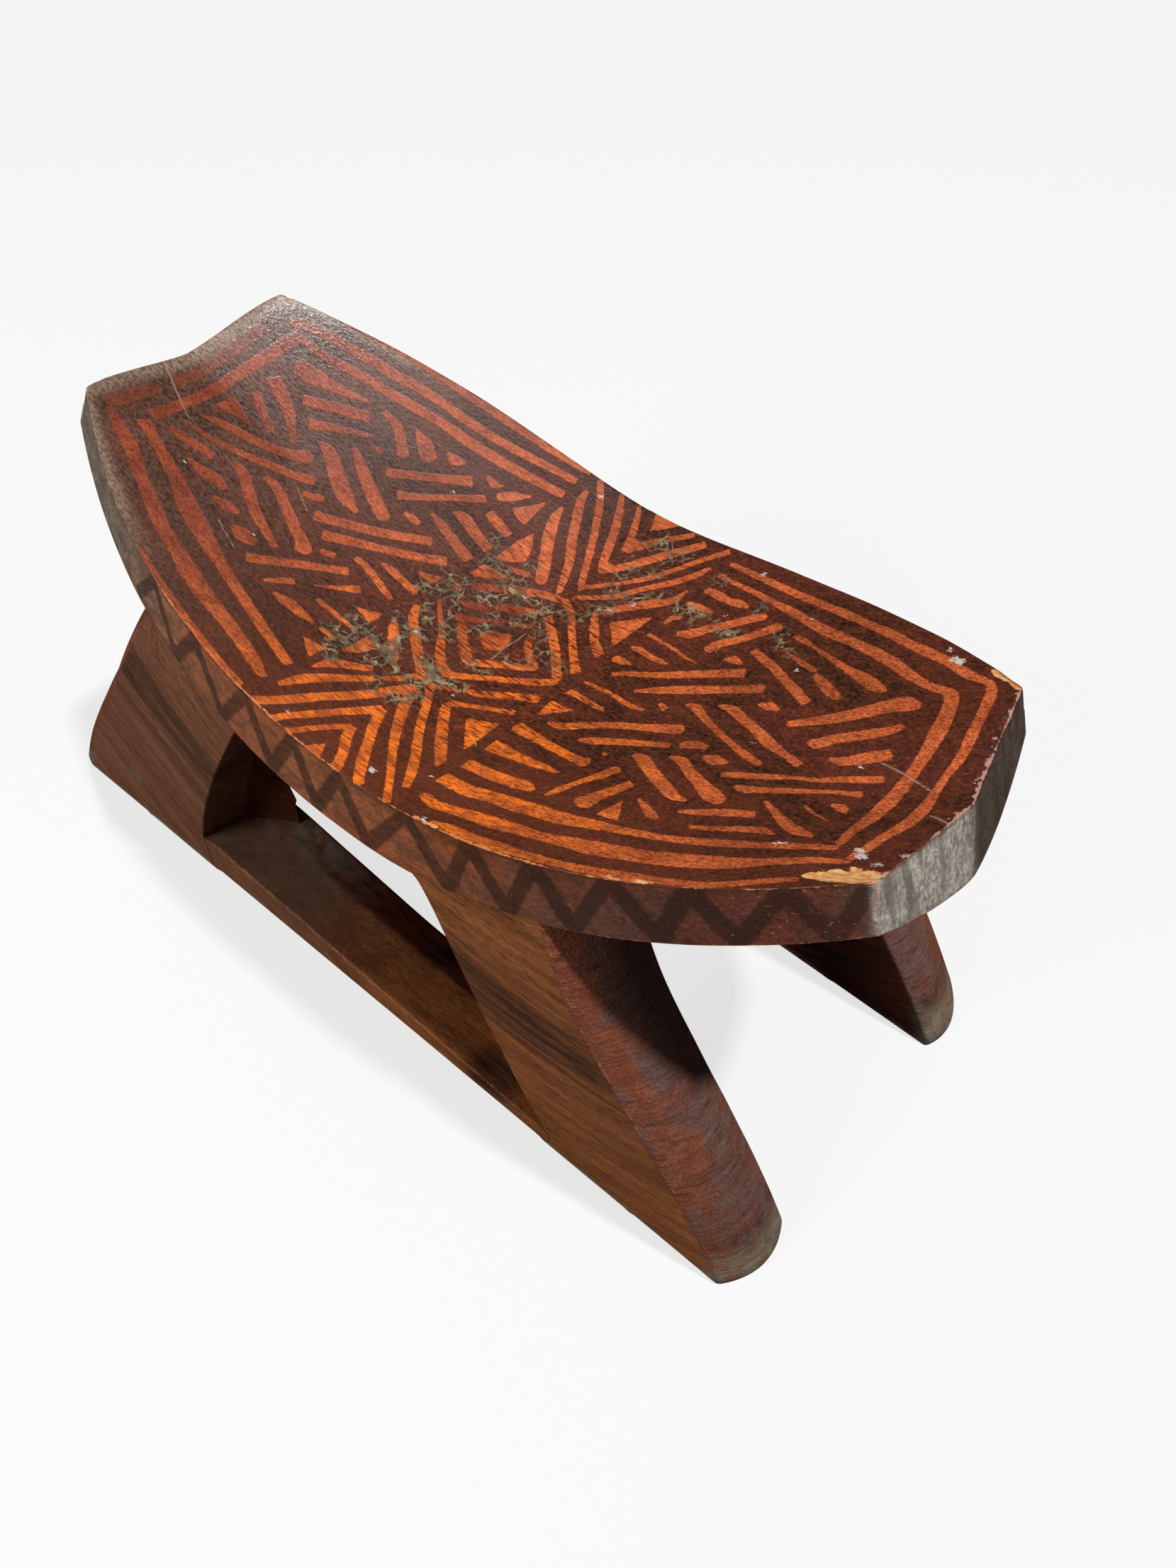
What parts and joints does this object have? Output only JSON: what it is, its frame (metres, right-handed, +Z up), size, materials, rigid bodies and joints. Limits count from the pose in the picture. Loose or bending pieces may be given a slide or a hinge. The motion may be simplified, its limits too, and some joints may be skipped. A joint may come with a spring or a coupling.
{
  "type": "carved stool",
  "caption": "Low carved wooden stool: a dished, boat-shaped seat with a burnt geometric pattern on two side walls, each of spread legs, an open window and a rail on the ground.",
  "frame": {"origin": "on the ground below the middle of the seat, at the centre of the bounding box's base", "axes": "+X along the seat to its higher end, +Y across the seat, away from the side that the picture shows nearest, +Z up"},
  "size_m": [0.5178, 0.224, 0.262],
  "materials": {
    "patterned_seat_wood": "worn lacquer over orange-red wood with a burnt dark brown geometric pattern",
    "carved_leg_wood": "bare brown wood with tool marks, lengthwise grain and a grey, dusty wear",
    "carved_rail_wood": "bare brown wood, dusty on top and darker inside"
  },
  "bodies": {
    "root": {"seat": "patterned_seat_wood", "near_left_leg": "carved_leg_wood", "near_right_leg": "carved_leg_wood", "far_left_leg": "carved_leg_wood", "far_right_leg": "carved_leg_wood", "near_rail": "carved_rail_wood", "far_rail": "carved_rail_wood"}
  },
  "joints": []
}
